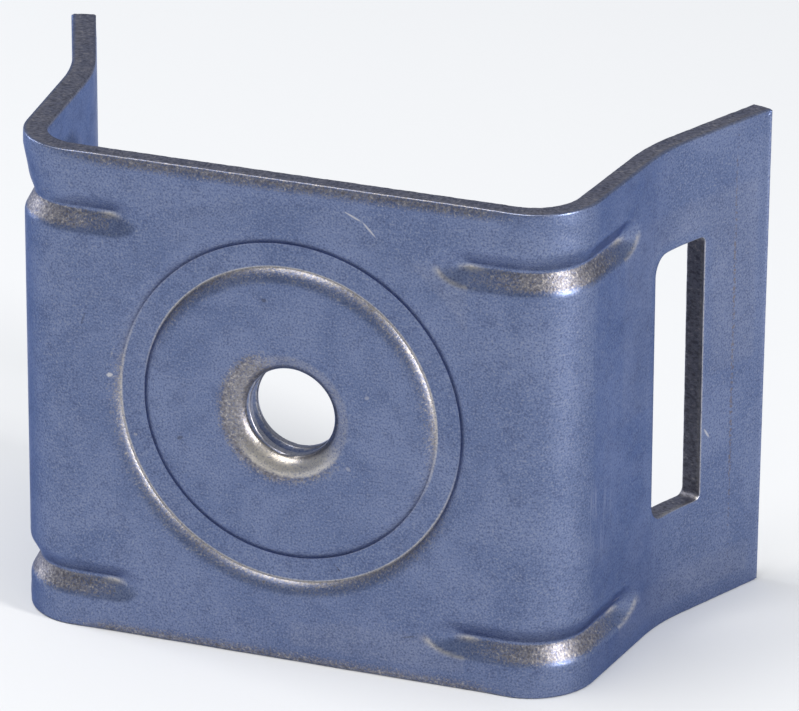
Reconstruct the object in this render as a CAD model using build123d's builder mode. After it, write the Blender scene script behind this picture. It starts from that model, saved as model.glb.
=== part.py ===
"""Flared-leg band bracket: one strip of stainless sheet, blanked, pierced, formed and folded.

The panel stands upright with its outer face towards -Y, and the two legs run back towards +Y
and flare outwards. The strip stands on its lower edge. All sizes are in millimetres.
The origin is at the middle of the footprint, on the surface that the bracket stands on.
"""

import os
from math import cos, radians, sin, sqrt, tan

from build123d import *

# Strip
STRIP_WIDTH = 38.1  # 1 1/2 in strip, which is the bracket's height as it stands
SHEET = 1.8
EDGE_ROLL = 0.3  # rounding that blanking leaves round the outer face

# Folds, seen from above
PANEL_WIDTH = 43.7  # between the outer mould lines of the two main bends
OVERALL_DEPTH = 27.4
BEND_INSIDE = 3.5
LEG_ANGLE = 84.0  # between the panel and each leg, a little off square
FLARE_ANGLE = 67.0  # between the panel and each flared tip
FLARE_DEPTH = 16.0  # from the outer face back to the mould line of the flare
FLARE_RADIUS = 16.0  # the gentle flare bend, on the outer face

# Band slots, pierced through the flare bends
SLOT_LENGTH = 21.1  # takes a 19 mm band
SLOT_WIDTH = 6.2
SLOT_LAND = 7.4  # metal left between the slot and the tip of the leg
SLOT_RISE = 0.4  # of the slots above the middle of the strip
SLOT_INNER_CORNER = 1.5
SLOT_OUTER_CORNER = 0.5

# Ring groove pressed into the panel round the hole
RING_INNER_RADIUS = 11.45  # of the groove's flat floor
RING_OUTER_RADIUS = 13.3
RING_DEPTH = 0.65
RING_SHOULDER = 1.6  # radius that rolls from the panel down to the floor
RIB_FLANK = 40.0  # slope of the rib's flanks behind the groove
HOLE_RISE = 0.6  # of the hole and its ring above the middle of the strip

# Extruded and tapped hole, 5/16-18 UNC
TAP_BORE = 6.73  # minor diameter
COLLAR_DIAMETER = 9.4
COLLAR_HEIGHT = 3.2  # from the outer face to the rim of the collar
LIP_RADIUS = 1.4  # metal drawn in at the mouth

# Stiffening darts pressed across the main bends
DART_PITCH = 29.3  # between the upper and the lower dart
DART_DROP = 0.35  # of the pair below the middle of the strip
DART_DEPTH = 0.8
DART_STRAIGHT = 4.0  # how far the root runs on past each end of the bend
DART_FLANK = 28.0  # slope of the flanks and of the round ends
DART_ROOT = 0.4  # radius of the nose that would touch both flanks, which is squared off
DART_RIM = 0.8  # radius where the outer face rolls into the flanks
SWELLING_SEAT = 0.3  # how far the swelling behind a dart is sunk into the sheet

CUT_MARGIN = 1.0  # how far each cutting shape reaches past the metal
ON_FACE = 0.01  # an edge this close to the outer face lies on it

panel_y = -OVERALL_DEPTH / 2
slot_level = STRIP_WIDTH / 2 + SLOT_RISE
hole_level = STRIP_WIDTH / 2 + HOLE_RISE
dart_level = STRIP_WIDTH / 2 - DART_DROP
bend_outside = BEND_INSIDE + SHEET
UP = Vector(0, 0, 1)


def in_plan(angle):
    return Vector(1, 0).rotate(Axis.Z, angle)


# Outer face, from the tip of the left leg to the tip of the right one
corner = Vector(PANEL_WIDTH / 2, panel_y)
tip_depth = OVERALL_DEPTH - SHEET * cos(radians(FLARE_ANGLE))
flare_corner = corner + in_plan(LEG_ANGLE) * (FLARE_DEPTH / sin(radians(LEG_ANGLE)))
tip = flare_corner + in_plan(FLARE_ANGLE) * ((tip_depth - FLARE_DEPTH) / sin(radians(FLARE_ANGLE)))
right_points = [corner, flare_corner, tip]
left_points = [Vector(-point.X, point.Y) for point in reversed(right_points)]
fold_radii = [FLARE_RADIUS, bend_outside, bend_outside, FLARE_RADIUS]

with BuildLine() as outer_face:
    FilletPolyline(*left_points, *right_points, radius=fold_radii)
outer_wire = outer_face.wire()

# The slot is square to the sheet at its own middle
slot_middle = outer_wire.length - SLOT_LAND - SLOT_WIDTH / 2
slot_run = outer_wire.tangent_at(slot_middle, PositionMode.LENGTH)
slot_origin = outer_wire.position_at(slot_middle, PositionMode.LENGTH) + UP * slot_level
slot_plane = Plane(origin=slot_origin, x_dir=slot_run, z_dir=slot_run.cross(UP))

with BuildPart() as slot_punch:
    with BuildSketch(slot_plane) as slot:
        Rectangle(SLOT_WIDTH, SLOT_LENGTH)
        fillet(slot.vertices().group_by(Axis.X)[0], radius=SLOT_INNER_CORNER)
        fillet(slot.vertices().group_by(Axis.X)[-1], radius=SLOT_OUTER_CORNER)
    extrude(amount=SHEET + CUT_MARGIN, both=True)

# The dart's root runs parallel to the sheet: round the bend and a little way along each side
dart_inset = DART_DEPTH - DART_ROOT  # from the outer face to the centre of the nose
dart_arc = bend_outside - dart_inset
dart_corner = corner + Vector(-dart_inset * tan(radians(LEG_ANGLE / 2)), dart_inset)
dart_reach = dart_arc * tan(radians(LEG_ANGLE / 2)) + DART_STRAIGHT
dart_panel_end = dart_corner - in_plan(0) * dart_reach
dart_leg_end = dart_corner + in_plan(LEG_ANGLE) * dart_reach
dart_levels = [(0, 0, dart_level + side * DART_PITCH / 2) for side in (-1, 1)]


def dart_punch(nose):
    """A V run along the root, squared off where its flanks would touch a nose of this radius."""
    slope = radians(DART_FLANK)
    top_width = (nose + CUT_MARGIN * cos(slope)) / sin(slope)
    with BuildSketch() as half_section:
        with BuildLine():
            Polyline(
                (-nose, 0),
                (-nose, nose * tan(slope / 2)),
                (CUT_MARGIN, top_width),
                (CUT_MARGIN, 0),
                close=True,
            )
        make_face()
    with BuildPart() as punch:
        with BuildLine() as root_line:
            FilletPolyline(dart_panel_end, dart_corner, dart_leg_end, radius=dart_arc)
        root = root_line.wire()
        with BuildSketch(Plane(root @ 0, x_dir=(root % 0).cross(UP), z_dir=root % 0)):
            add(half_section)
            mirror(about=Plane.XZ)
        sweep(path=root)
        # Each end is the same half section turned about the line that stands on the root's end
        for end in (0, 1):
            outwards = (root % end).cross(UP)
            with BuildSketch(Plane(root @ end, x_dir=outwards, z_dir=root % end)):
                add(half_section)
            revolve(axis=Axis(root @ end, outwards))
    return punch.part


dart_groove = dart_punch(DART_ROOT)

# The swelling stands on the inner face and is rooted a little way into the sheet
swelling_line = outer_wire.offset_2d(SHEET - SWELLING_SEAT, side=Side.LEFT, closed=False)
with BuildPart() as dart_swelling:
    with BuildSketch():
        with BuildLine():
            add(swelling_line)
            Line(swelling_line @ 1, swelling_line @ 0)
        make_face()
    extrude(amount=STRIP_WIDTH, both=True)
    add(dart_punch(DART_ROOT + SHEET), mode=Mode.INTERSECT)


def on_outer_face(edge):
    feet = [Vector((edge @ part).X, (edge @ part).Y) for part in (0.25, 0.5, 0.75)]
    return all(outer_wire.distance_to(foot) < ON_FACE for foot in feet)


def right_and_left(shape):
    return shape, mirror(shape, about=Plane.YZ, mode=Mode.PRIVATE)


with BuildPart() as bracket:
    # Folded strip, with the rounding that blanking leaves along its outer rims
    with BuildSketch():
        with BuildLine():
            add(outer_wire)
            offset(amount=SHEET, side=Side.LEFT)
        make_face()
    extrude(amount=STRIP_WIDTH)
    outer_edges = bracket.edges().filter_by(on_outer_face)
    long_rims = outer_edges.filter_by(Axis.Z, reverse=True)
    tip_rims = outer_edges.filter_by(Axis.Z).sort_by(Axis.Y)[-2:]
    fillet(long_rims + tip_rims, radius=EDGE_ROLL)

    # Band slots
    for punch in right_and_left(slot_punch.part):
        add(punch, mode=Mode.SUBTRACT)

    # Darts: the swelling inside the fold, then the groove outside it
    for swelling, groove in zip(right_and_left(dart_swelling.part), right_and_left(dart_groove)):
        with Locations(*dart_levels):
            add(swelling)
        with Locations(*dart_levels):
            add(groove, mode=Mode.SUBTRACT)
        fillet(bracket.edges(Select.LAST).filter_by(on_outer_face), radius=DART_RIM)

    # Ring: a flat-topped rib behind the panel, which keeps the sheet at least as thick as elsewhere
    hole_plane = Plane((0, panel_y, hole_level))
    hole_axis = Axis((0, panel_y, hole_level), (0, 1, 0))
    crest_width = SHEET * tan(radians(RIB_FLANK / 2))  # beyond the groove's floor
    rib_width = crest_width + SHEET / tan(radians(RIB_FLANK))
    with BuildSketch(hole_plane):
        with BuildLine():
            Polyline(
                (RING_INNER_RADIUS - rib_width, RING_DEPTH),
                (RING_INNER_RADIUS - crest_width, RING_DEPTH + SHEET),
                (RING_OUTER_RADIUS + crest_width, RING_DEPTH + SHEET),
                (RING_OUTER_RADIUS + rib_width, RING_DEPTH),
                close=True,
            )
        make_face()
    revolve(axis=hole_axis)

    # Groove: both shoulders roll from the panel down to the flat floor
    shoulder_run = sqrt(2 * RING_SHOULDER * RING_DEPTH - RING_DEPTH**2)
    with BuildSketch(hole_plane):
        with BuildLine():
            Line(
                (RING_INNER_RADIUS - shoulder_run, -CUT_MARGIN),
                (RING_OUTER_RADIUS + shoulder_run, -CUT_MARGIN),
            )
            for edge, side in ((RING_INNER_RADIUS, -1), (RING_OUTER_RADIUS, 1)):
                rim = edge + side * shoulder_run
                RadiusArc((edge, RING_DEPTH), (rim, 0), side * RING_SHOULDER)
                Line((rim, 0), (rim, -CUT_MARGIN))
            Line((RING_INNER_RADIUS, RING_DEPTH), (RING_OUTER_RADIUS, RING_DEPTH))
        make_face()
    revolve(axis=hole_axis, mode=Mode.SUBTRACT)

    # Collar drawn back from the panel
    with BuildSketch(hole_plane):
        with Locations((0, SHEET / 2)):
            Rectangle(COLLAR_DIAMETER / 2, COLLAR_HEIGHT - SHEET / 2, align=(Align.MIN, Align.MIN))
    revolve(axis=hole_axis)

    # Bore at the thread's minor diameter, with the metal drawn in at its mouth
    bore = TAP_BORE / 2
    with BuildSketch(hole_plane):
        with BuildLine():
            RadiusArc((bore + LIP_RADIUS, 0), (bore, LIP_RADIUS), -LIP_RADIUS)
            Polyline(
                (bore, LIP_RADIUS),
                (bore, COLLAR_HEIGHT + CUT_MARGIN),
                (0, COLLAR_HEIGHT + CUT_MARGIN),
                (0, -CUT_MARGIN),
                (bore + LIP_RADIUS, -CUT_MARGIN),
                (bore + LIP_RADIUS, 0),
            )
        make_face()
    revolve(axis=hole_axis, mode=Mode.SUBTRACT)

bracket.part.label = "bracket"
os.makedirs("parts", exist_ok=True)
export_step(bracket.part, "parts/bracket.step")
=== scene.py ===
from math import atan2, cos, hypot, pi, radians, sin, sqrt, tan

import bmesh
import bpy
import numpy as np
from mathutils import Matrix, Vector, noise
from mathutils.geometry import delaunay_2d_cdt


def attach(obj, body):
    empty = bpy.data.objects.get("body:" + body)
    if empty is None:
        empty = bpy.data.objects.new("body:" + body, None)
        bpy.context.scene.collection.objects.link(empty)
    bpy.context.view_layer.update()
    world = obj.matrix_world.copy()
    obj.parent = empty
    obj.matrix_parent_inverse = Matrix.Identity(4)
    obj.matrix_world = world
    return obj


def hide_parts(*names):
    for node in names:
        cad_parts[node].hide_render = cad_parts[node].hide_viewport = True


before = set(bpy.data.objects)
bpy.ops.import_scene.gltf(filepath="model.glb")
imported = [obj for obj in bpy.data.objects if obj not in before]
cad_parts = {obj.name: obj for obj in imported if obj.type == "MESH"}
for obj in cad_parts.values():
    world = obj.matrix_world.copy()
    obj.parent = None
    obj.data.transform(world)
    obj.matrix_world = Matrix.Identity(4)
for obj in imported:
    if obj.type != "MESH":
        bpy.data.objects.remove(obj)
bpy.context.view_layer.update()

MM = 0.001  # everything below is in millimetres, and the mesh and the camera are scaled by this

# ---------------------------------------------------------------- sizes of the folded strip
bracket = bpy.data.objects["bracket"]
STRIP = bracket.dimensions.z / MM
DEPTH = bracket.dimensions.y / MM
PANEL_Y = -DEPTH / 2
SHEET = 1.8
MOULD_X = 21.85
BEND = 5.3
LEG = radians(84)
FLARE = radians(67)
FLARE_DEPTH = 16.0
FLARE_BEND = 16.0
TIP_SKEW = 0.45  # the right tip was cut a little out of square
TIP_BURR = 0.1  # the cut tips are spread by this much on each face

HOLE_LEVEL = STRIP / 2 + 0.6
RING_IN, RING_OUT, RING_DEPTH, SHOULDER = 11.45, 13.3, 0.65, 1.6
BORE, LIP = 3.365, 1.4
DISH_RADIUS, DISH_DEPTH = 6.3, 0.1  # the panel sinks a little round the lip
COLLAR, COLLAR_HEIGHT, COLLAR_FILLET = 4.7, 3.2, 0.5  # its radius, height and foot
PITCH, THREAD_DEPTH = 1.4111, 0.6  # 5/16-18

SLOT_LEVEL = STRIP / 2 + 0.4
SLOT_LONG, SLOT_WIDE, SLOT_LAND = 21.1, 5.95, 7.25

DART_LEVELS = (STRIP / 2 - 15.0, STRIP / 2 + 14.3)
DART_DEPTH = 0.8
DART_SLOPE = radians(28)
DART_ROOT = 0.4
DART_ENDS = (14.0, 29.1)  # where the root starts on the panel and stops on the leg
DART_STRETCH = 1.7  # the ends are this much longer than a cone of the same slope
LONG_STRETCH = 2.2  # of the lower right dart
SAG_SLOPE, SAG_REACH = 0.215, 3.5  # the upper left bend sinks towards its dart

# Lengths and curvatures of the outer face, from the middle of the panel to the tip
bend_reach = BEND * tan(LEG / 2)
flare_reach = FLARE_BEND * tan((LEG - FLARE) / 2)
run_lengths = [
    MOULD_X - bend_reach,
    BEND * LEG,
    FLARE_DEPTH / sin(LEG) - bend_reach - flare_reach,
    FLARE_BEND * (LEG - FLARE),
    (DEPTH - SHEET * cos(FLARE) - FLARE_DEPTH) / sin(FLARE) - flare_reach,
]
run_turns = [0, 1 / BEND, 0, -1 / FLARE_BEND, 0]
BEND_START = run_lengths[0]
BEND_END = BEND_START + run_lengths[1]
HALF = sum(run_lengths)
SLOT_MIDDLE = HALF - SLOT_LAND - SLOT_WIDE / 2


def march(turn, x, y, heading, way):
    """A step along a straight or a circular run."""
    ahead = heading + turn * way
    if turn == 0:
        return x + way * np.cos(heading), y + way * np.sin(heading), ahead
    across = (np.sin(ahead) - np.sin(heading)) / turn
    along = (np.cos(heading) - np.cos(ahead)) / turn
    return x + across, y + along, ahead


def face_line(s):
    """The right half of the outer face in plan: place and heading at length s from the middle."""
    s = np.asarray(s, float)
    x, y, heading = np.zeros_like(s), np.zeros_like(s), np.zeros_like(s)
    start, corner = 0.0, (0.0, PANEL_Y, 0.0)
    for length, turn in zip(run_lengths, run_turns):
        here = s >= start
        for value, found in zip((x, y, heading), march(turn, *corner, s - start)):
            value[here] = found[here]
        corner = tuple(float(v) for v in march(turn, *corner, length))
        start += length
    return x, y, heading


def place(s, z, n):
    """Points at length s along the strip, height z and depth n into the sheet."""
    s, z, n = (np.array(v, float) for v in np.broadcast_arrays(s, z, n))
    beyond_slot = np.clip((s - SLOT_MIDDLE - SLOT_WIDE / 2 - 1) / (SLOT_LAND - 1), 0, 1)
    s = s - TIP_SKEW * (1 - z / STRIP) * beyond_slot
    x, y, heading = face_line(np.abs(s))
    x, y = x - n * np.sin(heading), y + n * np.cos(heading)
    return np.stack([np.where(s < 0, -x, x), y, z], -1)


# ---------------------------------------------------------------- darts
def soft_max(a, b, reach):
    """The larger of two heights, rounded where they are less than the reach apart."""
    near = np.maximum(reach - np.abs(a - b), 0) / reach
    return np.maximum(a, b) + near * near * reach / 4


def dart_place(s, z):
    """Distance past the root's end, and height above the root, of the dart that is nearest."""
    lower, upper = z - DART_LEVELS[0], z - DART_LEVELS[1]
    is_lower = np.abs(lower) < np.abs(upper)
    stretch = np.where(is_lower & (s > 0), LONG_STRETCH, DART_STRETCH)
    s = np.abs(s)
    past = np.maximum(np.maximum(DART_ENDS[0] - s, s - DART_ENDS[1]), 0) / stretch
    return past, np.where(is_lower, lower, upper)


def dart_depth(s, z, behind):
    """Depth of the groove, or height of its swelling, whose nose is rounder by the sheet's thickness."""
    past, above = dart_place(s, z)
    away = np.hypot(past, above)
    nose = DART_ROOT + behind
    touch = nose * sin(DART_SLOPE)
    on_nose = nose - np.sqrt(np.maximum(nose**2 - away**2, 0))
    on_flank = nose * (1 - cos(DART_SLOPE)) + (away - touch) * tan(DART_SLOPE)
    depth = DART_DEPTH - np.where(away < touch, on_nose, on_flank)
    in_bend = np.clip((-s - BEND_START + 1) / 3, 0, 1) * np.clip((BEND_END + 1 + s) / 3, 0, 1)
    sag = np.where(z > DART_LEVELS[1], SAG_SLOPE * (SAG_REACH - (z - DART_LEVELS[1])), 0) * in_bend
    return soft_max(soft_max(depth, sag, 0.1), 0 * depth, 0.14)


def dart_marks_and_light(s, z):
    """How far the outer face at the darts is stretched and polished, and where a warm reflection and
    highlights are painted on it: most on the flanks that face up.
    """
    past, above = dart_place(s, z)
    depth = dart_depth(s, z, 0)
    # The lower flank faces up and takes most of the painted warm reflection
    lower_flank = 0.12 + 0.88 * np.clip(0.5 - above / 0.12, 0, 1)
    from_panel = np.clip((np.abs(s) - DART_ENDS[0] + 1) / 6, 0, 1)
    from_leg = np.clip((DART_ENDS[1] + 1 - np.abs(s)) / 5, 0, 1)
    strained = np.where(s > 0, 0.25 + 0.6 * from_panel * from_leg, 0.4 + 0.5 * from_panel)
    worked_and_lit = np.clip(depth / 0.25, 0, 1) * np.where(past > 0, 0.4, 1) * lower_flank * strained
    to_end = np.minimum(np.abs(np.abs(s) - DART_ENDS[0]), np.abs(np.abs(s) - DART_ENDS[1]))
    # Pale marks near the root's ends: partly polish, partly painted highlight
    burnished_and_highlit = np.clip(1 - to_end / 1.1, 0, 1) * np.clip(1 - np.abs(above + 0.1) / 0.3, 0, 1)
    # A painted highlight on the rim of the right end's lower, up-facing side
    at_right_end = (past > 0) * np.clip(-above / 0.5, 0, 1) * (s > 0)
    on_rim = np.clip(1 - np.abs(depth - 0.1) / 0.07, 0, 1) * at_right_end
    burnished_and_highlit = np.maximum(burnished_and_highlit, 0.8 * on_rim)
    return worked_and_lit, burnished_and_highlit


# ---------------------------------------------------------------- one mesh, gathered piece by piece
# Besides the metal's treatment, the second and third facts mark where a warm reflection of the overhead
# light and highlights are painted, mostly on surfaces that face up
FACTS = ("sheared", "worked_and_lit", "burnished_and_highlit")


class Gatherer:
    """Points of the mesh, with their place in the flat blank, how the metal was treated there, and where
    a warm reflection and highlights are painted on it.
    """

    def __init__(self):
        self.points, self.blank, self.faces = [], [], []
        self.facts = {name: [] for name in FACTS}
        self.count = 0

    def add(self, points, blank, *facts):
        n = len(points)
        self.points.append(points)
        self.blank.append(blank)
        for name, fact in zip(FACTS, facts):
            self.facts[name].append(np.broadcast_to(fact, (n,)))
        self.count += n
        return np.arange(self.count - n, self.count)

    def ladder(self, rings):
        """Quads between closed rings of as many points."""
        for one, other in zip(rings, rings[1:]):
            for i in range(len(one)):
                j = (i + 1) % len(one)
                self.faces.append((one[i], one[j], other[j], other[i]))

    def fill(self, ids, flat, rings, is_metal):
        """Triangles over flat places of points, of which the first ones form closed rings."""
        edges, at = [], 0
        for ring in rings:
            edges += [(at + i, at + (i + 1) % ring) for i in range(ring)]
            at += ring
        made = delaunay_2d_cdt([Vector(p) for p in flat.tolist()], edges, [], 0, 1e-7, True)
        origin = [first[0] for first in made[3]]
        for face in made[2]:
            corners = [origin[i] for i in face]
            if is_metal(*flat[corners].mean(0)):
                self.faces.append(tuple(int(ids[i]) for i in corners))


metal = Gatherer()


def lumps(points, scale, seed):
    """Smooth noise from -1 to 1 at each point."""
    return np.array([noise.noise(Vector(p) * scale + Vector((seed, 0, 0))) for p in points.tolist()])


def rounded_rectangle(x0, x1, y0, y1, radii, arc_steps, side_steps):
    """Ring of points and outward directions. The radii go round from the lower left corner."""
    corners = [
        (x0 + radii[0], y0 + radii[0], pi),
        (x1 - radii[1], y0 + radii[1], -pi / 2),
        (x1 - radii[2], y1 - radii[2], 0),
        (x0 + radii[3], y1 - radii[3], pi / 2),
    ]
    points, outwards = [], []
    for i, (x, y, start) in enumerate(corners):
        for j in range(arc_steps + 1):
            a = start + pi / 2 * j / arc_steps
            outwards.append((cos(a), sin(a)))
            points.append((x + radii[i] * cos(a), y + radii[i] * sin(a)))
        x, y, start = corners[(i + 1) % 4]
        radius = radii[(i + 1) % 4]
        end = (x + radius * cos(start), y + radius * sin(start))
        side = np.linspace(points[-1], end, side_steps[i % 2] + 1)[1:-1]
        points += [tuple(p) for p in side]
        outwards += [outwards[-1]] * len(side)
    return np.array(points), np.array(outwards)


# ---------------------------------------------------------------- edge of the strip
CORNER = 0.2  # of the blank
EDGE_INSET = 1.1  # where the face's own grid starts
RIM = 0.15  # radius of the edge's front corner
ROLL_WIDTH, ROLL_DEPTH = 0.95, 0.17  # the die drew the face down along the panel's edges
ROLL_ENDS = (14.5, 19.5)


def edge_ring(inset):
    radius = max(CORNER - inset, 0.05)
    box = (inset - HALF, HALF - inset, inset, STRIP - inset)
    return rounded_rectangle(*box, [radius] * 4, 8, (370, 146))


edge_flat, edge_out = edge_ring(0)
on_long_edge = np.abs(edge_out[:, 1]) > 0.9
roll_fade = (ROLL_ENDS[1] - np.abs(edge_flat[:, 0])) / (ROLL_ENDS[1] - ROLL_ENDS[0])
rolled = np.clip(roll_fade, 0, 1) * on_long_edge
roll_depth = ROLL_DEPTH * (0.12 + 0.88 * rolled * rolled * (3 - 2 * rolled))
roll_depth = roll_depth * (1 + 0.25 * lumps(np.column_stack([edge_flat, 0 * rolled]), 0.35, 3))
burr = TIP_BURR * (np.abs(edge_out[:, 0]) > 0.9)


def roll_at(inset):
    return roll_depth * max((ROLL_WIDTH - inset) / (ROLL_WIDTH - RIM), 0) ** 2


def add_edge_ring(inset, depth, roughness, *facts):
    if inset < CORNER:
        flat = edge_flat - edge_out * inset
    else:
        flat = edge_ring(inset)[0]
    depth = depth + 0 * rolled
    if roughness:
        where = np.column_stack([flat, depth])
        bites = 0.5 + 0.7 * lumps(where, 2.1, inset) + 0.5 * lumps(where, 5.3, 7)
        flat = flat - edge_out * (roughness * np.clip(bites, 0, None))[:, None]
    return metal.add(place(flat[:, 0], flat[:, 1], depth), np.column_stack([flat, depth]), *facts), flat


front_edge, front_edge_flat = add_edge_ring(EDGE_INSET, 0, 0, 0, 0, 0)
rings = [front_edge]
for inset in (0.9, 0.78, 0.66, 0.54, 0.43, 0.33, 0.24):
    spread = burr * max(1 - inset / 0.6, 0) ** 2
    rings.append(add_edge_ring(inset, roll_at(inset) - spread, 0, 0, rolled * (0.9 - 0.6 * inset), 0)[0])
for a in np.radians((0, 25, 50, 75, 90)):
    inset, depth = RIM * (1 - sin(a)), RIM * (1 - cos(a))
    treatment = (0.45 * sin(a), 0.2 + 0.4 * rolled, 0.12 * sin(a))
    rings.append(add_edge_ring(inset, roll_depth + depth - burr, 0.02 * sin(a), *treatment)[0])
for depth, inset, burnished_and_highlit in (
    (0.42, 0.0, 0.12),
    (0.55, 0.0, 0.05),
    (0.75, 0.01, 0),
    (0.95, 0.02, 0),
    (1.15, 0.03, 0),
    (1.35, 0.04, 0),
    (1.55, 0.05, 0),
):
    rings.append(add_edge_ring(inset, depth, 0.05, 1, 0, burnished_and_highlit)[0])
for inset, depth in ((0.07, 1.68), (0.14, 1.77), (0.26, 1.8)):
    rings.append(add_edge_ring(inset, depth + burr * max(1 - inset / 0.2, 0), 0.03, 0.8, 0, 0)[0])
back_edge, back_edge_flat = add_edge_ring(0.6, SHEET, 0, 0, 0, 0)
rings.append(back_edge)
metal.ladder(rings)

# ---------------------------------------------------------------- band slots
# Each is punched square to the sheet at its own middle
SLOT_CORNERS = [1.5, 0.5, 0.5, 1.5]
SLOT_MARGIN = 0.5  # where the faces' own grid starts
SLOT_TABLE_REACH, SLOT_TABLE_STEPS = 9, 3601  # of the table from the punch's plane to the strip
slot_x, slot_y, slot_heading = (float(v[0]) for v in face_line([SLOT_MIDDLE]))
slot_s = np.linspace(SLOT_MIDDLE - SLOT_TABLE_REACH, SLOT_MIDDLE + SLOT_TABLE_REACH, SLOT_TABLE_STEPS)
line_x, line_y, line_heading = face_line(slot_s)
along_front = (line_x - slot_x) * cos(slot_heading) + (line_y - slot_y) * sin(slot_heading)
along_back = along_front + SHEET * np.sin(slot_heading - line_heading)
slot_flat, slot_out = rounded_rectangle(
    -SLOT_WIDE / 2,
    SLOT_WIDE / 2,
    SLOT_LEVEL - SLOT_LONG / 2,
    SLOT_LEVEL + SLOT_LONG / 2,
    SLOT_CORNERS,
    8,
    (20, 76),
)


def add_slot_ring(side, outset, depth, roughness, *facts):
    flat = slot_flat + slot_out * outset
    if roughness:
        where = np.column_stack([flat, depth + 0 * flat[:, 0]])
        bites = 0.5 + 0.7 * lumps(where, 2.1, side) + 0.5 * lumps(where, 5.3, 7)
        flat = flat + slot_out * (roughness * np.clip(bites, 0, None))[:, None]
    s_front = np.interp(flat[:, 0], along_front, slot_s)
    s_back = np.interp(flat[:, 0], along_back, slot_s)
    share = depth / SHEET
    points = place(s_front, flat[:, 1], 0) * (1 - share) + place(s_back, flat[:, 1], SHEET) * share
    points[:, 0] *= side
    s = side * (s_front * (1 - share) + s_back * share)
    blank = np.column_stack([s, flat[:, 1], depth + 0 * s])
    return metal.add(points, blank, *facts), blank[:, :2]


slot_fronts, slot_backs = [], []
SLOT_RIM = 0.1
for side in (1, -1):
    ring, flat = add_slot_ring(side, SLOT_MARGIN, 0, 0, 0, 0, 0)
    slot_fronts.append((ring, flat))
    rings = [ring]
    rings.append(add_slot_ring(side, 0.25, 0, 0, 0, 0, 0)[0])
    for a in np.radians((0, 30, 60, 90)):
        inset, depth = SLOT_RIM * (1 - sin(a)), SLOT_RIM * (1 - cos(a))
        rings.append(add_slot_ring(side, inset, depth, 0.02 * sin(a), 0.3 * sin(a), 0, 0.8 * sin(a))[0])
    for depth in (0.3, 0.5, 0.7, 0.9, 1.1, 1.3, 1.5):
        rings.append(add_slot_ring(side, 0.04 * depth, depth, 0.045, 1, 0, max(0.5 - depth, 0))[0])
    for outset, depth in ((0.08, 1.68), (0.14, 1.77), (0.24, 1.8)):
        rings.append(add_slot_ring(side, outset, depth, 0.02, 0.8, 0, 0)[0])
    ring, flat = add_slot_ring(side, SLOT_MARGIN, SHEET, 0, 0, 0, 0)
    slot_backs.append((ring, flat))
    rings.append(ring)
    metal.ladder(rings)

# ---------------------------------------------------------------- ring, lip, thread and collar
# All of it is turned about the hole
SEGMENTS = 192
TURNED_RADIUS = 16.2
LIGHT_SIDE = radians(72)  # the side of the ring on which an inner shoulder faces up
theta = np.arange(SEGMENTS) * 2 * pi / SEGMENTS
# On the side where a shoulder of the groove faces up, a warm reflection of the overhead light and
# highlight lines are painted: faces_up for the inner shoulder, faces_up_below for the outer one
faces_up = np.clip((np.cos(theta - LIGHT_SIDE) + 0.2) / 0.5, 0, 1)
faces_up_below = np.clip((0.2 - np.cos(theta - LIGHT_SIDE)) / 0.5, 0, 1)
# On the lip a highlight is painted on its lower side, which faces up, and a warm reflection on its left
# side
lip_painted_highlight = np.clip((np.cos(theta - radians(272)) - 0.45) / 0.35, 0, 1)
lip_painted_reflection = np.clip((np.cos(theta - radians(195)) + 0.1) / 0.5, 0, 1)
shoulder_run = sqrt(2 * SHOULDER * RING_DEPTH - RING_DEPTH**2)
shoulder_turn = atan2(shoulder_run, SHOULDER - RING_DEPTH)
turned_rings = []


def thread_cut(n):
    """How deep the thread is cut below its crests, round the hole, at depth n."""
    phase = (n / PITCH + theta / (2 * pi) + 0.35) % 1.0
    cut = (0.31 - np.abs(phase - 0.5)) / 0.25
    return THREAD_DEPTH * np.clip(cut, 0, 1)


def turn(radius, n, sheared=0, worked_and_lit=0, burnished_and_highlit=0):
    """One more ring about the hole's axis."""
    across, up = radius * np.cos(theta), HOLE_LEVEL + radius * np.sin(theta)
    n = n + 0 * theta
    points = np.column_stack([across, PANEL_Y + n, up])
    turned_rings.append(metal.add(points, np.column_stack([across, up, n]), sheared, worked_and_lit, burnished_and_highlit))


def dish(radius):
    return DISH_DEPTH * max((DISH_RADIUS - radius) / (DISH_RADIUS - BORE - LIP), 0) ** 2


# Face, groove and plateau
for radius in (TURNED_RADIUS, 15.7, 15.2, 14.85):
    turn(radius, 0)
# Outer shoulder: painted warm reflection and highlight where it faces up, on the lower side
for i in range(13):
    share = i / 12
    a = shoulder_turn * share
    worked_and_lit = faces_up_below * (0.1 + 0.6 * share)
    burnish_and_highlight = 0.6 * share**8 * faces_up_below + 0.16 * share**3 * (1 - faces_up_below)
    turn(RING_OUT + shoulder_run - SHOULDER * sin(a), SHOULDER * (1 - cos(a)), 0, worked_and_lit, burnish_and_highlight)
# Painted highlight lines at the floor's two edges, on the sides where the shoulders face up
turn(RING_OUT - 0.05, RING_DEPTH, 0, 0, 0.8 * faces_up_below)
for radius in (RING_OUT - 0.15, 12.8, 12.4, 11.95, RING_IN + 0.15):
    turn(radius, RING_DEPTH)
turn(RING_IN + 0.05, RING_DEPTH, 0, 0, 0.8 * faces_up)
# Inner shoulder: painted warm reflection and highlight where it faces up, on the upper side
for i in range(12, -1, -1):
    share = i / 12
    a = shoulder_turn * share
    worked_and_lit = faces_up * (0.1 + 0.65 * share)
    burnish_and_highlight = 0.6 * share**8 * faces_up + 0.16 * share**3 * (1 - faces_up)
    turn(RING_IN - shoulder_run + SHOULDER * sin(a), SHOULDER * (1 - cos(a)), 0, worked_and_lit, burnish_and_highlight)
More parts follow.
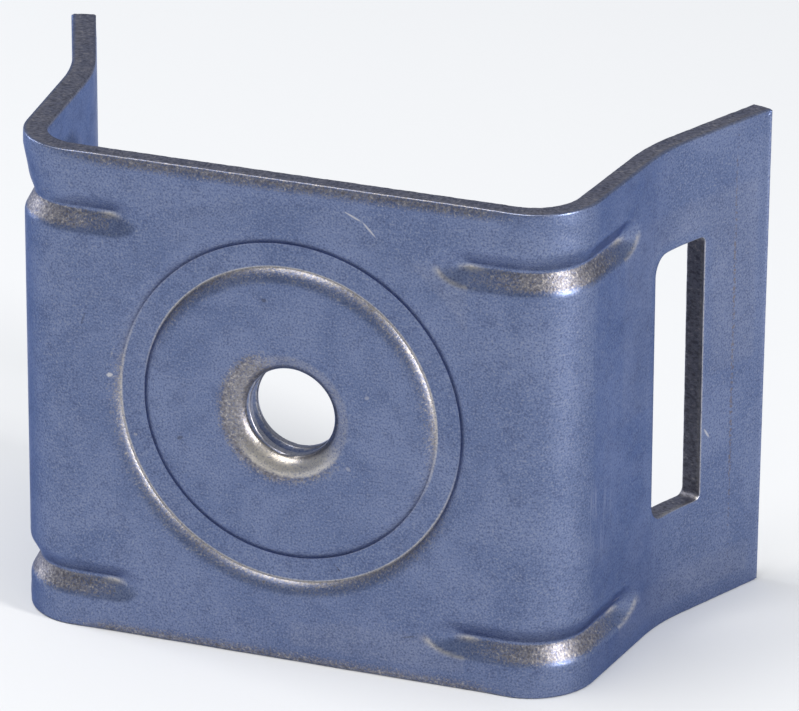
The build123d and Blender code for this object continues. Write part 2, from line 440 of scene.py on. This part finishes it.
# Round the lip the dish takes the lip's painted highlight and warm reflection
for radius in (9.8, 9.2, 8.4, 7.6, 7.0, 6.6, 6.2, 5.9, 5.6, 5.35, 5.1, 4.9):
    near = max((5.9 - radius) / 1.1, 0)
    turn(radius, dish(radius), 0, near * np.maximum(0.7 * lip_painted_highlight, lip_painted_reflection))

# Lip, bore with its thread, and the collar's rim
LIP_STEPS = 9
# The lip, with its painted warm reflection on the left and painted highlight below
for i in range(LIP_STEPS):
    a = radians(4 + 8 * i)
    n = LIP - LIP * cos(a)
    treatment = (0.1, 0.3 + 0.5 * lip_painted_reflection, 0.15 + 0.7 * lip_painted_highlight)
    turn(BORE + LIP - LIP * sin(a), DISH_DEPTH * (1 - n / LIP) + n, *treatment)
lip_end = n
for n in np.linspace(lip_end, 2.98, 36)[1:]:
    on_lip = sqrt(max(LIP**2 - (LIP - n) ** 2, 0)) if n < LIP else LIP
    radius = np.maximum(BORE + LIP - on_lip, BORE + thread_cut(n))
    turn(radius, n, 0.35, 0.2, 0.5 * (radius < BORE + 0.1))
turn(BORE + 0.2, 3.1, 0.6)
turn(BORE + 0.35, COLLAR_HEIGHT, 1)
for radius in (3.95, 4.3, COLLAR - 0.15):
    turn(radius, COLLAR_HEIGHT, 1)
turn(COLLAR - 0.04, COLLAR_HEIGHT - 0.04, 0.8)
turn(COLLAR, COLLAR_HEIGHT - 0.13, 0.5)
for n in (2.85, 2.6, SHEET + COLLAR_FILLET):
    turn(COLLAR, n, 0.2, 0.3)
for a in np.radians((18, 36, 54, 72, 90)):
    turn(COLLAR + COLLAR_FILLET * (1 - cos(a)), SHEET + COLLAR_FILLET * (1 - sin(a)), 0, 0.3)
for radius in (5.6, 6.3, 7.1, 8.0, 8.8):
    turn(radius, SHEET)

# Rib behind the groove: one thickness outside the edges of its floor, with a small fillet at its foot
FOOT = 0.5
crest = RING_DEPTH + SHEET
foot_level = SHEET + FOOT
foot_away = sqrt((SHEET + FOOT) ** 2 - (foot_level - RING_DEPTH) ** 2)
foot_turn = atan2(foot_away, foot_level - RING_DEPTH)
rib_half = []
for i in range(5):
    a = foot_turn * i / 4
    rib_half.append((foot_away - FOOT * sin(a), foot_level - FOOT * cos(a)))
for i in range(1, 9):
    a = foot_turn * (1 - i / 8)
    rib_half.append((SHEET * sin(a), RING_DEPTH + SHEET * cos(a)))
for away, n in rib_half:
    turn(RING_IN - away, n, 0, 0.3)
for radius in (12.05, 12.7):
    turn(radius, crest, 0, 0.1)
for away, n in reversed(rib_half):
    turn(RING_OUT + away, n, 0, 0.3)
turn(15.65, SHEET)
turn(TURNED_RADIUS, SHEET)
metal.ladder(turned_rings)


# ---------------------------------------------------------------- the two faces of the sheet
def grid_points(dart_step, bend_step, flat_step):
    """Points over the blank: densest at the darts, and denser at the bends than on the flats."""
    near, far = DART_ENDS[0] - 3.4, DART_ENDS[1] + 3.4
    dart_half = 2.4
    spans = [
        (0, near, flat_step, False),
        (near, BEND_START - 1, flat_step, True),
        (BEND_START - 1, BEND_END + 1, bend_step, True),
        (BEND_END + 1, far, flat_step, True),
        (far, HALF, flat_step, False),
    ]
    low, high = DART_LEVELS
    levels = [0, low - dart_half, low + dart_half, high - dart_half, high + dart_half, STRIP]
    made = []
    for s0, s1, span_step, crosses_darts in spans:
        for band, (z0, z1) in enumerate(zip(levels, levels[1:])):
            dense = crosses_darts and band in (1, 3)
            s_step, z_step = (dart_step * 1.2, dart_step) if dense else (span_step, flat_step)
            s_values = np.linspace(s0, s1, round((s1 - s0) / s_step) + 1)[:-1]
            z_values = np.linspace(z0, z1, round((z1 - z0) / z_step) + 1)[:-1]
            points = np.array([(s, z) for s in s_values for z in z_values])
            made += [points, points[points[:, 0] > 0] * (-1, 1)]
    return np.concatenate(made)


def in_slot(s, z, outset):
    """Whether a place on the outer or inner face lies in a slot that is larger by the outset."""
    table = along_front if outset[1] == 0 else along_back
    x = np.interp(np.abs(s), slot_s, table)
    half_wide, half_long = SLOT_WIDE / 2 + outset[0], SLOT_LONG / 2 + outset[0]
    z = np.abs(z - SLOT_LEVEL)
    radius = np.where(x < 0, SLOT_CORNERS[0], SLOT_CORNERS[1]) + outset[0]
    past_x, past_z = np.abs(x) - half_wide + radius, z - half_long + radius
    in_corner = (past_x > 0) & (past_z > 0)
    return (np.abs(x) < half_wide) & (z < half_long) & ~(in_corner & (np.hypot(past_x, past_z) > radius))


def cover(behind, edge, slots, circle, steps, margin):
    """One face of the sheet: behind is 0 for the outer face, and the thickness for the inner one."""
    grid = grid_points(*steps)
    s, z = grid.T
    keep = (np.abs(s) < HALF - margin) & (z > margin) & (z < STRIP - margin)
    keep &= np.hypot(s, z - HOLE_LEVEL) > TURNED_RADIUS + 0.2
    keep &= ~in_slot(s, z, (SLOT_MARGIN + 0.15, behind))
    grid = grid[keep]
    s, z = grid.T
    depth = dart_depth(s, z, behind)
    if behind:
        worked_and_lit, burnished_and_highlit = 0.25 * np.clip(depth / 0.3, 0, 1), 0
    else:
        worked_and_lit, burnished_and_highlit = dart_marks_and_light(s, z)
    blank = np.column_stack([grid, depth + behind])
    ids = metal.add(place(s, z, depth + behind), blank, 0, worked_and_lit, burnished_and_highlit)
    circle_levels = HOLE_LEVEL + TURNED_RADIUS * np.sin(theta)
    circle_flat = np.column_stack([TURNED_RADIUS * np.cos(theta), circle_levels])
    flats = [edge[1], slots[0][1], slots[1][1], circle_flat, grid]
    rings = [len(flat) for flat in flats[:-1]]
    ids = np.concatenate([edge[0], slots[0][0], slots[1][0], circle, ids])

    def is_metal(s, z):
        in_circle = hypot(s, z - HOLE_LEVEL) < TURNED_RADIUS * cos(pi / SEGMENTS) - 0.002
        return not in_circle and not in_slot(s, z, (SLOT_MARGIN - 0.01, behind))

    metal.fill(ids, np.concatenate(flats), rings, is_metal)


FRONT_STEPS = (0.19, 0.3, 0.5)
BACK_STEPS = (0.34, 0.4, 0.8)
cover(0, (front_edge, front_edge_flat), slot_fronts, turned_rings[0], FRONT_STEPS, EDGE_INSET + 0.15)
cover(SHEET, (back_edge, back_edge_flat), slot_backs, turned_rings[-1], BACK_STEPS, 0.85)

mesh = bpy.data.meshes.new("bracket_strip")
mesh.from_pydata((np.concatenate(metal.points) * MM).tolist(), [], metal.faces)
for name, values in metal.facts.items():
    attribute = mesh.attributes.new(name, "FLOAT", "POINT")
    attribute.data.foreach_set("value", np.concatenate(values).astype(np.float32))
attribute = mesh.attributes.new("blank", "FLOAT_VECTOR", "POINT")
attribute.data.foreach_set("vector", np.concatenate(metal.blank).astype(np.float32).ravel())

shell = bmesh.new()
shell.from_mesh(mesh)
bmesh.ops.delete(shell, geom=[v for v in shell.verts if not v.link_faces], context="VERTS")
bmesh.ops.recalc_face_normals(shell, faces=shell.faces)
shell.to_mesh(mesh)
shell.free()
mesh.shade_smooth()
strip = bpy.data.objects.new("bracket_strip", mesh)
bpy.context.scene.collection.objects.link(strip)

# ---------------------------------------------------------------- material
class Nodes:
    """Short names for making and linking shader nodes."""

    def __init__(self, material):
        material.use_nodes = True
        self.tree = material.node_tree
        self.shader = self.tree.nodes["Principled BSDF"]

    def make(self, kind, inputs, **settings):
        node = self.tree.nodes.new(kind)
        for name, value in settings.items():
            setattr(node, name, value)
        for key, value in inputs.items():
            self.feed(node.inputs[key], value)
        return node

    def feed(self, socket, value):
        if isinstance(value, bpy.types.NodeSocket):
            self.tree.links.new(value, socket)
        else:
            socket.default_value = value

    def fact(self, name):
        return self.make("ShaderNodeAttribute", {}, attribute_name=name)

    def math(self, operation, a, b=0.0, clamp=False):
        return self.make("ShaderNodeMath", {0: a, 1: b}, operation=operation, use_clamp=clamp).outputs[0]

    def vector(self, operation, a, b):
        return self.make("ShaderNodeVectorMath", {0: a, 1: b}, operation=operation).outputs[0]

    def noise(self, where, scale, detail=2.0, roughness=0.5, distortion=0.0):
        inputs = {"Vector": where, "Scale": scale, "Detail": detail}
        inputs.update({"Roughness": roughness, "Distortion": distortion})
        return self.make("ShaderNodeTexNoise", inputs).outputs["Fac"]

    def between(self, value, low, high, out_low=0.0, out_high=1.0):
        """A smooth step from one value to another."""
        inputs = {"Value": value, "From Min": low, "From Max": high}
        inputs.update({"To Min": out_low, "To Max": out_high})
        return self.make("ShaderNodeMapRange", inputs, interpolation_type="SMOOTHSTEP").outputs[0]

    def mix(self, share, a, b):
        node = self.tree.nodes.new("ShaderNodeMix")
        node.data_type = "RGBA"
        for index, value in ((0, share), (6, a), (7, b)):
            self.feed(node.inputs[index], value)
        return node.outputs[2]


def rgb(red, green, blue):
    return (red, green, blue, 1.0)


# The base colour holds the blue that bare steel reflects from blue surroundings, so it is bluer and
# darker than the metal itself. For neutral surroundings it should be a neutral grey.
stainless = bpy.data.materials.new("rolled_stainless")
n = Nodes(stainless)
blank = n.fact("blank").outputs["Vector"]
sheared, worked_and_lit, burnished_and_highlit = (n.fact(name).outputs["Fac"] for name in FACTS)

# Rolled face: cloudy, with a faint grain along the strip
clouds = n.noise(blank, 0.17, 6.0, 0.62, 0.6)
patches = n.noise(blank, 0.65, 5.0, 0.65, 0.3)
grain = n.noise(n.vector("MULTIPLY", blank, (0.35, 5.0, 5.0)), 1.0, 4.0, 0.6)
dust = n.noise(blank, 6.5, 3.0, 0.6)
steel = n.mix(n.between(clouds, 0.36, 0.64), rgb(0.130, 0.172, 0.310), rgb(0.172, 0.216, 0.362))
steel = n.mix(n.between(patches, 0.50, 0.72, 0, 0.55), steel, rgb(0.106, 0.138, 0.255))
steel = n.mix(n.between(grain, 0.55, 0.8, 0, 0.35), steel, rgb(0.270, 0.315, 0.460))
steel = n.mix(n.between(dust, 0.50, 0.68, 0, 0.60), steel, rgb(0.270, 0.300, 0.400))
steel = n.mix(n.between(dust, 0.50, 0.34, 0, 0.65), steel, rgb(0.075, 0.092, 0.175))

# Stretched metal: rough like orange peel. Its colour is painted light: a warm reflection of the overhead
# light, with brown painted shade in the peel's hollows and pale painted highlights on its tops. It is
# laid on the stretched places, mostly where they face up
peel = n.noise(blank, 4.2, 3.0, 0.62)
painted_peel_light = n.mix(n.between(peel, 0.36, 0.52), rgb(0.125, 0.112, 0.112), rgb(0.250, 0.235, 0.240))
painted_peel_light = n.mix(n.between(peel, 0.54, 0.68), painted_peel_light, rgb(0.500, 0.460, 0.420))
ragged = n.math("ADD", worked_and_lit, n.math("MULTIPLY", n.math("SUBTRACT", dust, 0.5), 2.0))
base = n.mix(n.between(ragged, 0.30, 0.90, 0, 0.85), steel, painted_peel_light)

# Sheared edge faces: darker, with pale specks
bite = n.noise(n.vector("MULTIPLY", blank, (1.0, 1.0, 0.6)), 5.0, 3.0, 0.65)
torn = n.mix(n.between(bite, 0.36, 0.54), rgb(0.125, 0.125, 0.145), rgb(0.220, 0.220, 0.260))
torn = n.mix(n.between(bite, 0.58, 0.70), torn, rgb(0.400, 0.380, 0.370))
base = n.mix(n.between(sheared, 0.2, 0.8), base, torn)


def mark(s, z, long, wide, angle=0.0):
    """A small scratch or spot on the outer face: 1 in its middle, 0 outside it."""
    inputs = {"Vector": blank, "Location": (s, z, 0)}
    inputs.update({"Rotation": (0, 0, radians(angle)), "Scale": (long, wide, 1)})
    away = n.make("ShaderNodeMapping", inputs, vector_type="TEXTURE").outputs[0]
    length = n.make("ShaderNodeVectorMath", {0: away}, operation="LENGTH").outputs["Value"]
    raggedness = n.math("MULTIPLY", n.math("SUBTRACT", dust, 0.5), 1.2)
    return n.between(n.math("ADD", length, raggedness), 1.0, 0.5)


# Scratches and spots: along the strip, height, half length, half width, angle, strength
BRIGHT_MARKS = (
    (-13.98, 20.81, 0.26, 0.22, 0, 0.6),
    (41.15, 14.0, 0.62, 0.12, -54, 0.5),
    (29.5, 4.67, 0.75, 0.14, 0, 0.7),
    (5.2, 36.1, 0.9, 0.09, -24, 0.5),
    (6.4, 35.3, 0.9, 0.09, -46, 0.5),
    (6.30, 22.14, 0.24, 0.18, 20, 0.22),
    (4.83, 16.28, 0.26, 0.18, -30, 0.22),
    (-12.2, 16.1, 0.25, 0.20, 0, 0.35),
)
DARK_MARKS = (
    (3.78, 7.9, 0.65, 0.12, -47, 0.8),
    (-8.4, 16.7, 0.35, 0.20, 30, 0.5),
    (-1.7, 28.6, 0.25, 0.20, 0, 0.5),
    (-16.0, 25.0, 0.60, 0.10, 70, 0.4),
    (9.6, 3.6, 0.70, 0.10, 15, 0.4),
)
for *where, strength in DARK_MARKS:
    base = n.mix(n.math("MULTIPLY", mark(*where), strength), base, rgb(0.060, 0.060, 0.080))
for *where, strength in BRIGHT_MARKS:
    base = n.mix(n.math("MULTIPLY", mark(*where), strength), base, rgb(0.750, 0.720, 0.700))

# Drag lines on the right leg, and a brown line inside the right tip's edge
DRAG_LINES = (25.6, 13.2, 2.2, 4.2)  # along the strip, height, half length, half width
TIP_STAIN = (44.0, 20.0, 0.22, 19.0)
streaks = n.noise(n.vector("MULTIPLY", blank, (7.0, 0.16, 1.0)), 1.0, 2.0, 0.5)
dragged = n.math("MULTIPLY", mark(*DRAG_LINES), n.between(streaks, 0.52, 0.66, 0, 0.5))
base = n.mix(dragged, base, rgb(0.420, 0.440, 0.560))
stained = n.math("MULTIPLY", mark(*TIP_STAIN), n.between(peel, 0.44, 0.60, 0, 0.7))
base = n.mix(stained, base, rgb(0.170, 0.135, 0.120))

# Polished places are paler and smoother; on the up-facing shoulders, the lip and the dart ends the pale
# colour is a painted highlight
burnish_and_highlight = n.math("MULTIPLY", burnished_and_highlit, n.between(dust, 0.25, 0.55, 0.35, 1.0))
base = n.mix(n.math("MULTIPLY", burnish_and_highlight, 0.75, True), base, rgb(0.66, 0.61, 0.53))

rough = n.between(patches, 0.3, 0.7, 0.30, 0.40)
rough = n.math("ADD", rough, n.math("MULTIPLY", n.math("MAXIMUM", worked_and_lit, sheared), 0.12))
rough = n.math("SUBTRACT", rough, n.math("MULTIPLY", burnish_and_highlight, 0.12))

BUMP_DEPTH = 0.03
height = n.math("ADD", n.math("MULTIPLY", grain, 0.10), n.math("MULTIPLY", dust, 0.10))
height = n.math("ADD", height, n.math("MULTIPLY", n.math("MULTIPLY", peel, worked_and_lit), 1.0))
height = n.math("ADD", height, n.math("MULTIPLY", n.math("MULTIPLY", bite, sheared), 1.0))
bump = n.make("ShaderNodeBump", {"Strength": 1.0, "Distance": BUMP_DEPTH * MM, "Height": height})

n.shader.inputs["Metallic"].default_value = 1.0
n.feed(n.shader.inputs["Base Color"], base)
n.feed(n.shader.inputs["Roughness"], rough)
n.feed(n.shader.inputs["Normal"], bump.outputs[0])
# The blue specular tint is a painted reflection of blue surroundings; it tints and darkens the
# reflections at grazing angles
n.shader.inputs["Specular Tint"].default_value = (0.45, 0.52, 0.75, 1)
mesh.materials.append(stainless)

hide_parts("bracket")
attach(strip, "root")

# ---------------------------------------------------------------- floor and light, in metres
FLOOR_HALF = 3.0
floor_mesh = bpy.data.meshes.new("floor")
corners = [(x * FLOOR_HALF, y * FLOOR_HALF, 0) for x, y in ((-1, -1), (1, -1), (1, 1), (-1, 1))]
floor_mesh.from_pydata(corners, [], [(0, 1, 2, 3)])
floor = bpy.data.objects.new("floor", floor_mesh)
bpy.context.scene.collection.objects.link(floor)
paper = bpy.data.materials.new("floor_paper")
paper.use_nodes = True
paper.node_tree.nodes["Principled BSDF"].inputs["Base Color"].default_value = (0.74, 0.76, 0.79, 1)
paper.node_tree.nodes["Principled BSDF"].inputs["Roughness"].default_value = 0.9
floor_mesh.materials.append(paper)

world = bpy.data.worlds.new("world")
bpy.context.scene.world = world
world.use_nodes = True
world.node_tree.nodes["Background"].inputs["Color"].default_value = (0.8, 0.83, 0.88, 1)
world.node_tree.nodes["Background"].inputs["Strength"].default_value = 0.55


def lamp(name, size, location, aim, watts, colour=(1, 1, 1)):
    data = bpy.data.lights.new(name, "AREA")
    data.shape = "RECTANGLE"
    data.size, data.size_y = size
    data.energy = watts
    data.color = colour
    light = bpy.data.objects.new(name, data)
    bpy.context.scene.collection.objects.link(light)
    light.location = location
    light.rotation_euler = (Vector(aim) - Vector(location)).to_track_quat("-Z", "Y").to_euler()


lamp("key", (0.5, 0.5), (-0.15, -0.2, 0.8), (0, 0, 0.02), 4.1, (1, 0.96, 0.90))
lamp("side", (0.07, 0.3), (0.43, -0.13, 0.17), (0, 0, 0.02), 1.8, (1, 0.96, 0.90))
lamp("left", (0.1, 0.3), (-0.43, 0.05, 0.17), (0, 0, 0.02), 0.7)

# ---------------------------------------------------------------- camera
IMAGE_WIDTH = 799  # pixels
FOCAL_PIXELS = 7035.75
AZIMUTH = radians(20.679)
ELEVATION = radians(22.974)
ROLL = radians(-0.222)
# Of the panel's foot in the camera's own axes: right, down, away
SHIFT = Vector((-8.468, 22.567, 519.918))
AIM = Vector((-0.15, PANEL_Y, 0))

forward = Vector((-sin(AZIMUTH) * cos(ELEVATION), cos(AZIMUTH) * cos(ELEVATION), -sin(ELEVATION)))
level = Vector((cos(AZIMUTH), sin(AZIMUTH), 0))
down = forward.cross(level)
right = cos(ROLL) * level + sin(ROLL) * down
down = cos(ROLL) * down - sin(ROLL) * level
place_of_eye = AIM - right * SHIFT.x - down * SHIFT.y - forward * SHIFT.z
camera_data = bpy.data.cameras.new("camera")
camera_data.sensor_width = 36.0
camera_data.lens = FOCAL_PIXELS / IMAGE_WIDTH * camera_data.sensor_width
camera_data.clip_start, camera_data.clip_end = 0.01, 20.0
camera = bpy.data.objects.new("camera", camera_data)
bpy.context.scene.collection.objects.link(camera)
turn_of_eye = Matrix((right, -down, -forward)).transposed()
camera.matrix_world = Matrix.Translation(place_of_eye * MM) @ turn_of_eye.to_4x4()
bpy.context.scene.camera = camera
bpy.context.scene.view_settings.view_transform = "Standard"
